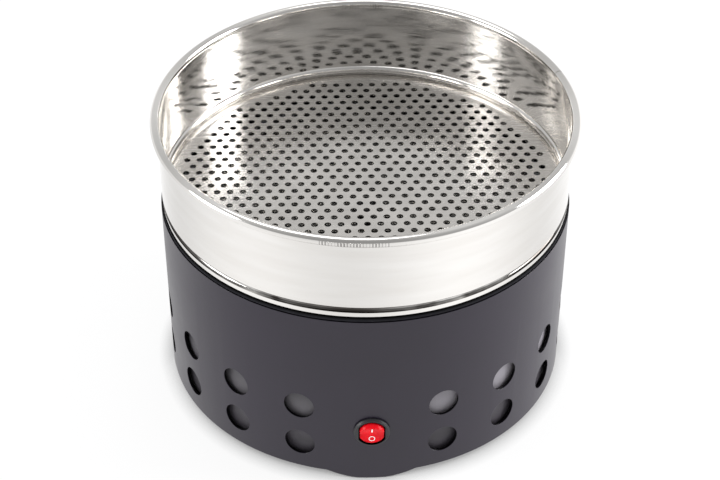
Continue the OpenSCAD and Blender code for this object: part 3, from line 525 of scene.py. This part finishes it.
def fan_moulding(colours, sizes):
    """Glass-filled PBT: dark grey moulding with long flow marks and a dry sheen."""
    return mottled("fan_moulding", (12 * MM, 4 * MM, 12 * MM), dark=shade(colours.fan, 0.88),
                   pale=shade(colours.fan, 1.15), smooth=0.4, rough=0.56, IOR=1.57)


def sintered_ferrite(colours, sizes):
    """Pressed and sintered ferrite of the rotor's magnet: charcoal, with a dry and gritty skin."""
    return mottled("sintered_ferrite", (0.8 * MM, 0.8 * MM, 0.8 * MM), dark=shade(colours.fan, 1.3),
                   pale=shade(colours.fan, 1.9), smooth=0.5, rough=0.7, relief=0.02 * MM, IOR=1.6)


def solder_mask(colours, sizes):
    """Glossy green solder mask over etched tracks, which show as a paler green."""
    return mottled("solder_mask", (2 * MM, 5 * MM, 3 * MM), dark=shade(colours.board, 0.8),
                   pale=shade(colours.board, 1.4), smooth=0.22, rough=0.3, relief=0.02 * MM,
                   detail=0.0,
                   IOR=1.5)


def red_pvc(colours, sizes):
    """Extruded red PVC insulation: a soft sheen, slightly uneven along the lead."""
    return mottled("red_pvc", (8 * MM, 8 * MM, 8 * MM), dark=shade(colours.red_lead, 0.88),
                   pale=shade(colours.red_lead, 1.12), smooth=0.34, rough=0.48, IOR=1.53)


def black_pvc(colours, sizes):
    """Extruded black PVC insulation, as the red."""
    return mottled("black_pvc", (8 * MM, 8 * MM, 8 * MM), dark=shade(colours.black_lead, 0.88),
                   pale=shade(colours.black_lead, 1.12), smooth=0.34, rough=0.48, IOR=1.53)


# Finishes of the carried-over CAD nodes
CARRIED = {
    satin_stainless: ("pan_floor", "chaff_tray", "fan_shaft"),
    black_powder_coat: ("drum", "ledge_ring", "base_plate"),
    wire_cloth: ("vent_screens",),
    black_silicone: ("foot_pads", "lead_grommets"),
    moulded_nylon: ("power_inlet", "lead_clips"),
    galvanised_sheet: ("hopper", "fan_deck"),
    zinc_plating: ("foot_brackets", "foot_screws", "hopper_screws", "knob_washer", "knob_screw",
                   "fan_bearings", "fan_screws", "fan_nuts", "inlet_nut", "inlet_contacts"),
    nickel_wire: ("fan_guard",),
    fan_moulding: ("fan_frame", "fan_rotor"),
    sintered_ferrite: ("rotor_magnet",),
    copper_winding: ("fan_stator",),
    solder_mask: ("fan_board",),
    stamped_brass: ("switch_terminals",),
    red_pvc: ("supply_lead", "fan_lead"),
    black_pvc: ("return_lead",),
}


def coat(piece, finish):
    """Gives a piece its finish, which is made when the first piece asks for it."""
    scene = bpy.context.scene
    made = bpy.data.materials.get(finish.__name__)
    made = made or finish(scene.cooler_colours, scene.cooler_sizes)
    piece.data.materials.clear()
    piece.data.materials.append(made)


# ---------------------------------------------------------------- modelling helpers

def deselect():
    for piece in list(bpy.context.selected_objects):
        piece.select_set(False)


def edit(piece):
    """Opens one piece for editing with all of it selected."""
    deselect()
    piece.select_set(True)
    bpy.context.view_layer.objects.active = piece
    bpy.ops.object.mode_set(mode="EDIT")
    bpy.ops.mesh.select_mode(type="VERT")
    bpy.ops.mesh.select_all(action="SELECT")


def close_edit(angle=SMOOTH):
    bpy.ops.object.mode_set(mode="OBJECT")
    bpy.ops.object.shade_smooth_by_angle(angle=math.radians(angle))


def arc(centre, radius, start, end, steps):
    """Points (radius, height) on an arc, its angles in degrees from outwards, turning upwards."""
    turn = [math.radians(start + (end - start) * i / steps) for i in range(steps + 1)]
    return [(centre[0] + radius * math.cos(a), centre[1] + radius * math.sin(a)) for a in turn]


def turned(name, outline):
    """Extrudes one point along a closed outline of (radius, height) and spins it about Z."""
    deselect()
    bpy.ops.mesh.primitive_plane_add(size=MM)
    piece = bpy.context.object
    piece.name = name
    edit(piece)
    bpy.ops.mesh.merge(type="CENTER")
    here = outline[0]
    bpy.ops.transform.translate(value=(here[0], 0, here[1]))
    for point in outline[1:] + outline[:1]:
        step = (point[0] - here[0], 0, point[1] - here[1])
        bpy.ops.mesh.extrude_region_move(TRANSFORM_OT_translate={"value": step})
        here = point
    bpy.ops.mesh.select_all(action="SELECT")
    bpy.ops.mesh.remove_doubles(threshold=MERGE)
    bpy.ops.mesh.spin(steps=bpy.context.scene.cooler_sizes.turn_steps, angle=TAU, center=(0, 0, 0),
                      axis=(0, 0, 1), use_auto_merge=True)
    bpy.ops.mesh.select_all(action="SELECT")
    bpy.ops.mesh.remove_doubles(threshold=MERGE)
    bpy.ops.mesh.normals_make_consistent(inside=False)
    close_edit()
    return piece


def copy_of(piece, name):
    """A copy with its own mesh, riding on nothing yet."""
    made = piece.copy()
    made.data = piece.data.copy()
    bpy.context.scene.collection.objects.link(made)
    for key in list(made.keys()):
        del made[key]
    made.parent = None
    made.name = name
    return made


def rounded(node, name, radius):
    """A copy of a CAD node whose triangles are merged into faces and whose edges are rounded."""
    piece = copy_of(nodes[node], name)
    edit(piece)
    if piece.data.has_custom_normals:
        bpy.ops.mesh.customdata_custom_splitnormals_clear()
    bpy.ops.mesh.remove_doubles(threshold=MERGE)
    bpy.ops.mesh.dissolve_limited(angle_limit=math.radians(1))
    bpy.ops.object.mode_set(mode="OBJECT")
    edge = piece.modifiers.new("edge", "BEVEL")
    edge.width = radius
    edge.segments = 3
    edge.limit_method = "ANGLE"
    edge.angle_limit = math.radians(40)
    bpy.ops.object.modifier_apply(modifier=edge.name)
    bpy.ops.object.shade_smooth_by_angle(angle=math.radians(SMOOTH))
    return piece


def settle(piece, place):
    """Moves a piece by a matrix and keeps its new place in its mesh."""
    bpy.context.view_layer.update()
    piece.data.transform(place @ piece.matrix_world)
    piece.matrix_world = Matrix.Identity(4)


def dress(piece, body, finish, slot, *replaced):
    """Gives a new piece its finish and body, and hides the CAD nodes that it stands for; its slot is
    unused.
    """
    coat(piece, finish)
    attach(piece, body)
    if replaced:
        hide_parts(*replaced)


# ---------------------------------------------------------------- pieces

class COOLER_OT_finishes(bpy.types.Operator):
    """Gives every carried-over CAD node its finish"""
    bl_idname = "cooler.finishes"
    bl_label = "Finishes of the carried-over pieces"

    def execute(self, context):
        for finish, members in CARRIED.items():
            for name in members:
                coat(nodes[name], finish)
        return {"FINISHED"}


class COOLER_OT_pan(bpy.types.Operator):
    """Turns the pan wall: spigot, seat flange, rolled groove, wall and rim with its open curl"""
    bl_idname = "cooler.pan"
    bl_label = "Pan wall"

    def execute(self, context):
        sizes = context.scene.cooler_sizes
        sheet, bead_r = sizes.sheet, sizes.bead / 2
        outside = DRUM_R - sizes.pan_inset
        inside = outside - sheet
        foot = low("pan_wall").z
        spigot_in = min(math.hypot(v.co.x, v.co.y) for v in nodes["pan_wall"].data.vertices
                        if v.co.z < foot + sheet)
        spigot_out = spigot_in + sheet
        bead = (RIM_R - bead_r, PAN_TOP - bead_r)
        groove = (outside, SEAT_Z + sizes.groove_up)
        bulge = sizes.groove + sheet
        spread = math.degrees(math.acos(sheet / bulge))
        under = -math.degrees(math.acos((outside - bead[0]) / bead_r))
        back = 360 - math.degrees(math.acos((inside - bead[0]) / bead_r))
        bend, mouth = 0.5 * MM, (0.2 * MM, 0.2 * MM + sizes.curl_mouth)
        slit = [math.degrees(math.acos(x / bead_r)) for x in mouth]
        outline = [(spigot_in, foot), (spigot_out, foot), (spigot_out, SEAT_Z)]
        outline += arc((outside - bend, SEAT_Z + bend), bend, -90, 0, steps=4)
        outline += arc(groove, sizes.groove, 270, 90, steps=14)
        outline += arc(bead, bead_r, under, -slit[0], steps=4)
        outline += [(bead[0] + x, bead[1] - bead_r * 0.5) for x in mouth]
        outline += arc(bead, bead_r, -slit[1], back, steps=40)
        outline += arc(groove, bulge, 180 - spread, 180 + spread, steps=14)
        outline += [(inside, SEAT_Z + sheet), (spigot_in, SEAT_Z + sheet)]
        dress(turned("pan_wall_polished", outline), "pan", polished_stainless, "polished_steel",
              "pan_wall")
        return {"FINISHED"}


class COOLER_OT_seat(bpy.types.Operator):
    """Turns the black trim that the pan stands on, with a rounded lip"""
    bl_idname = "cooler.seat"
    bl_label = "Seat trim"

    def execute(self, context):
        edge = context.scene.cooler_sizes.lip_round
        lip_r, foot = high("seat_gasket").x, low("seat_gasket").z
        leg_in = min(math.hypot(v.co.x, v.co.y) for v in nodes["seat_gasket"].data.vertices)
        outline = [(leg_in, foot), (DRUM_IN_R, foot), (DRUM_IN_R, DRUM_TOP)]
        outline += arc((lip_r - edge, DRUM_TOP + edge), edge, -90, 0, steps=5)
        outline += arc((lip_r - edge, SEAT_Z - edge), edge, 0, 90, steps=6)
        outline += [(leg_in, SEAT_Z)]
        dress(turned("seat_trim", outline), "base", seat_silicone, "black_rubber", "seat_gasket")
        return {"FINISHED"}


class COOLER_OT_switch(bpy.types.Operator):
    """Rounds the switch's bezel and rocker, and prints the I and O marks on the rocker"""
    bl_idname = "cooler.switch"
    bl_label = "Rocker switch"

    def execute(self, context):
        sizes = context.scene.cooler_sizes
        bezel = rounded("switch_body", "switch_bezel", 0.6 * sizes.switch_edge)
        dress(bezel, "base", bezel_nylon, "black_plastic", "switch_body")
        rocker = rounded("switch_rocker", "switch_rocker_gloss", sizes.switch_edge)
        dress(rocker, "rocker", red_polycarbonate, "red_rocker", "switch_rocker")
        # The rocker's frame: X to the right, Y up the rocker and Z outwards, turned about its pivot
        pivot, tilt, dish, face = -0.8 * MM, math.radians(11), math.radians(12), 2.4 * MM
        on_drum = Matrix.Translation((0, -DRUM_R, SWITCH_Z)) @ Matrix.Rotation(TAU / 4, 4, "X")
        tilted = on_drum @ Matrix.Translation((0, 0, pivot)) @ Matrix.Rotation(tilt, 4, "X")
        for mark, side in ((stroke("mark_on", sizes), 1), (ring("mark_off", sizes), -1)):
            seat = Matrix.Translation((0, side * sizes.mark_up * math.cos(dish),
                                       face + sizes.mark_up * math.sin(dish)))
            settle(mark, tilted @ seat @ Matrix.Rotation(side * dish, 4, "X"))
            dress(mark, "rocker", pad_printed_ink, "red_rocker")
        return {"FINISHED"}


def stroke(name, sizes):
    """A printed stroke with rounded ends, flat on its own XY plane."""
    deselect()
    bpy.ops.mesh.primitive_plane_add(size=1)
    mark = bpy.context.object
    mark.name = name
    edit(mark)
    bpy.ops.transform.resize(value=(sizes.stroke_line, sizes.stroke_tall, 1))
    bpy.ops.mesh.bevel(offset=0.48 * sizes.stroke_line, segments=6, affect="VERTICES")
    bpy.ops.mesh.select_all(action="SELECT")
    bpy.ops.mesh.extrude_region_move(TRANSFORM_OT_translate={"value": (0, 0, sizes.ink_film)})
    bpy.ops.mesh.select_all(action="SELECT")
    bpy.ops.mesh.normals_make_consistent(inside=False)
    close_edit()
    return mark


def ring(name, sizes):
    """A printed ring, flat on its own XY plane."""
    deselect()
    bpy.ops.mesh.primitive_torus_add(major_segments=48, minor_segments=8,
                                     major_radius=(sizes.ring_wide - sizes.ring_line) / 2,
                                     minor_radius=sizes.ring_line / 2)
    mark = bpy.context.object
    mark.name = name
    edit(mark)
    bpy.ops.transform.resize(value=(1, 1, sizes.ink_film / sizes.ring_line))
    close_edit(WIRE_SMOOTH)
    return mark


class COOLER_OT_knob(bpy.types.Operator):
    """Rounds the edges of the chaff tray's pull knob"""
    bl_idname = "cooler.knob"
    bl_label = "Tray knob"

    def execute(self, context):
        knob = rounded("tray_knob", "tray_knob_moulded", 0.6 * MM)
        dress(knob, "tray", moulded_nylon, "black_plastic", "tray_knob")
        return {"FINISHED"}


class COOLER_OT_screen(bpy.types.Operator):
    """Weaves the chaff screen: one wire is bent over and under, the rest are its trimmed copies"""
    bl_idname = "cooler.screen"
    bl_label = "Woven chaff screen"

    def execute(self, context):
        sizes = context.scene.cooler_sizes
        pitch = sizes.screen_pitch
        middle = (low("chaff_screen").z + high("chaff_screen").z) / 2
        reach = high("chaff_screen").x
        trim = 0.2 * MM  # how far a wire's end stays inside the screen's edge
        count = int(reach / pitch)
        bent = bent_wire(count + 2, sizes)
        wires = []
        for number in range(-count, count + 1):
            half = math.sqrt(reach ** 2 - (number * pitch) ** 2) - trim
            for turn in (0, 1):
                wire = copy_of(bent, f"wire_{number}_{turn}")
                shift = (number + turn) % 2 * pitch
                wire.data.transform(Matrix.Translation((shift, number * pitch, middle)))
                edit(wire)
                for side in (1, -1):
                    bpy.ops.mesh.select_all(action="SELECT")
                    bpy.ops.mesh.bisect(plane_co=(side * half, 0, 0), plane_no=(side, 0, 0),
                                        clear_outer=True, use_fill=True)
                bpy.ops.object.mode_set(mode="OBJECT")
                mirror = Matrix.Scale(1 - 2 * turn, 4, (0, 1, 0))
                settle(wire, Matrix.Rotation(turn * TAU / 4, 4, "Z") @ mirror)
                wires.append(wire)
        bpy.data.objects.remove(bent)
        deselect()
        for wire in wires:
            wire.select_set(True)
        bpy.context.view_layer.objects.active = wires[0]
        bpy.ops.object.join()
        screen = bpy.context.object
        screen.name = "chaff_screen_woven"
        edit(screen)
        bpy.ops.mesh.normals_make_consistent(inside=False)
        close_edit(WIRE_SMOOTH)
        dress(screen, "tray", nickel_wire, "screen_wire", "chaff_screen")
        return {"FINISHED"}


def bent_wire(count, sizes):
    """A wire along X, cut at every crossing and moved up and down there by turns."""
    deselect()
    pitch = sizes.screen_pitch
    bpy.ops.mesh.primitive_cylinder_add(vertices=5, radius=sizes.screen_wire,
                                        depth=2 * count * pitch + pitch, rotation=(0, TAU / 4, 0))
    wire = bpy.context.object
    settle(wire, Matrix.Identity(4))
    edit(wire)
    for crossing in range(-count, count + 1):
        bpy.ops.mesh.select_all(action="SELECT")
        bpy.ops.mesh.bisect(plane_co=(crossing * pitch, 0, 0), plane_no=(1, 0, 0))
        bpy.ops.transform.translate(value=(0, 0, (-1) ** crossing * sizes.screen_wire))
    close_edit(WIRE_SMOOTH)
    return wire


# ---------------------------------------------------------------- stage

# Place in metres, diameter in metres and power in watts
SOFTBOXES = {
    "top_softbox": ((-0.2, 0.5, 1.7), 1.0, 6),
    "left_softbox": ((-1.5, -0.3, 0.6), 0.8, 13),
    "right_softbox": ((1.4, 0.1, 0.6), 0.9, 26),
}


class COOLER_OT_stage(bpy.types.Operator):
    """Adds the camera in the photograph's place, the paper floor, the softboxes and the room"""
    bl_idname = "cooler.stage"
    bl_label = "Stage"

    def execute(self, context):
        context.scene.view_settings.view_transform = "Standard"
        photo_camera(context.scene)
        paper_floor(context.scene)
        white_room(context.scene)
        for name, (where, size, power) in SOFTBOXES.items():
            softbox(context.scene, name, where, size, power)
        return {"FINISHED"}


def photo_camera(scene):
    """Stands where the camera stood, with its lens fitted to the object's outline."""
    data = bpy.data.cameras.new("photo_camera")
    data.sensor_width = 36
    data.lens = 89.57
    camera = bpy.data.objects.new("photo_camera", data)
    scene.collection.objects.link(camera)
    azimuth, pitch, yaw = math.radians(-1.92), math.radians(38.293), math.radians(0.211)
    distance, height = 0.8978, 0.79428
    camera.location = (distance * math.sin(azimuth), -distance * math.cos(azimuth), height)
    camera.rotation_euler = (TAU / 4 - pitch, 0, azimuth + yaw)
    scene.camera = camera


def paper_floor(scene):
    """White paper that glows to the camera and in mirrors, so that it meets the white background.
    It keeps the cooler's soft shadow, and a painted shadow from ambient occlusion darkens the glow
    that the camera sees, deepest right at the cooler's foot. What mirrors see of it is less bright on
    the left, a painted fall-off of light."""
    deselect()
    bpy.ops.mesh.primitive_plane_add(size=8)
    floor = bpy.context.object
    floor.name = "studio_floor"
    made, tree = blank("white_paper")
    path = add(tree, "LightPath", {}, {})
    seen = add(tree, "Math", LARGER, {0: path["Is Camera Ray"], 1: path["Is Glossy Ray"]})[0]
    seen = add(tree, "Math", LARGER, {0: seen, 1: path["Is Transmission Ray"]})[0]
    share = add(tree, "Math", TIMES, {0: seen, 1: 0.85})[0]
    paper = add(tree, "BsdfDiffuse", {}, {"Color": scene.cooler_colours.floor})[0]
    # Painted shadow: ambient occlusion darkens the glow near the cooler
    near = add(tree, "AmbientOcclusion", {"samples": 8}, {"Distance": 11 * MM})["AO"]
    shaded = add(tree, "MapRange", {}, {"Value": near, "From Min": 0.1, "To Min": 0.1})[0]
    across = add(tree, "SeparateXYZ", {}, {0: add(tree, "TexCoord", {}, {})["Object"]})[0]
    # Painted fall-off of light on the left, as mirrors see it
    falling = add(tree, "MapRange", {}, {
        "Value": across, "From Min": -0.35, "From Max": -0.1, "To Min": 0.88})[0]
    strength = add(tree, "Mix", {"data_type": "FLOAT"}, {
        0: path["Is Camera Ray"], 2: falling, 3: shaded})[0]
    glow = add(tree, "Emission", {}, {"Strength": strength})[0]
    mixed = add(tree, "MixShader", {}, {0: share, 1: paper, 2: glow})[0]
    add(tree, "OutputMaterial", {}, {"Surface": mixed})
    floor.data.materials.append(made)


def white_room(scene):
    """A white room. Metal mirrors it white at the horizon and greyer above, most of all behind the
    camera."""
    room = bpy.data.worlds.new("white_room")
    scene.world = room
    room.use_nodes = True
    tree = room.node_tree
    tree.nodes.clear()
    _, y, z = add(tree, "SeparateXYZ", {}, {0: add(tree, "TexCoord", {}, {})["Generated"]})
    front = add(tree, "MapRange", {}, {
        "Value": y, "From Min": 0.2, "From Max": -0.5, "To Min": 0.55})[0]
    above = add(tree, "MapRange", {}, {"Value": z, "From Min": 0.02, "From Max": 0.2})[0]
    dark = add(tree, "Math", TIMES, {0: front, 1: above})[0]
    mirrored = add(tree, "MapRange", {}, {"Value": dark, "To Min": 1.0, "To Max": 0.38})[0]
    path = add(tree, "LightPath", {}, {})
    seen = add(tree, "Math", LARGER, {0: path["Is Camera Ray"],
                                                        1: path["Is Transmission Ray"]})[0]
    lit = add(tree, "MapRange", {}, {"Value": seen, "To Min": 0.8, "To Max": 1.0})[0]
    strength = add(tree, "Mix", {"data_type": "FLOAT"}, {
        0: path["Is Glossy Ray"], 2: lit, 3: mirrored})[0]
    sky = add(tree, "Background", {}, {"Color": (1, 1, 1, 1), "Strength": strength})[0]
    add(tree, "OutputWorld", {}, {"Surface": sky})


def softbox(scene, name, where, size, power):
    """A round softbox that points at the middle of the cooler."""
    data = bpy.data.lights.new(name, "AREA")
    data.shape = "DISK"
    data.size = size
    data.energy = power
    lamp = bpy.data.objects.new(name, data)
    lamp.location = where
    aim = Vector((0, 0, PAN_TOP / 2)) - Vector(where)
    lamp.rotation_euler = aim.to_track_quat("-Z", "Y").to_euler()
    scene.collection.objects.link(lamp)


# ---------------------------------------------------------------- add-on

STEPS = (COOLER_OT_finishes, COOLER_OT_pan, COOLER_OT_seat, COOLER_OT_switch, COOLER_OT_knob,
         COOLER_OT_screen, COOLER_OT_stage)


class COOLER_PT_steps(bpy.types.Panel):
    """Lists the steps that dress the cooler, and its colours and sizes"""
    bl_label = "Cooler"
    bl_idname = "COOLER_PT_steps"
    bl_space_type = "VIEW_3D"
    bl_region_type = "UI"
    bl_category = "Cooler"

    def draw(self, context):
        for step in STEPS:
            self.layout.operator(step.bl_idname)
        for group in (context.scene.cooler_colours, context.scene.cooler_sizes):
            for name in group.__annotations__:
                self.layout.prop(group, name)


CLASSES = (CoolerColours, CoolerSizes, *STEPS, COOLER_PT_steps)


def register():
    for made in CLASSES:
        bpy.utils.register_class(made)
    bpy.types.Scene.cooler_colours = PointerProperty(type=CoolerColours)
    bpy.types.Scene.cooler_sizes = PointerProperty(type=CoolerSizes)


def unregister():
    del bpy.types.Scene.cooler_colours
    del bpy.types.Scene.cooler_sizes
    for made in reversed(CLASSES):
        bpy.utils.unregister_class(made)


def main():
    register()
    bpy.ops.cooler.finishes()
    bpy.ops.cooler.pan()
    bpy.ops.cooler.seat()
    bpy.ops.cooler.switch()
    bpy.ops.cooler.knob()
    bpy.ops.cooler.screen()
    bpy.ops.cooler.stage()


if __name__ == "__main__":
    main()
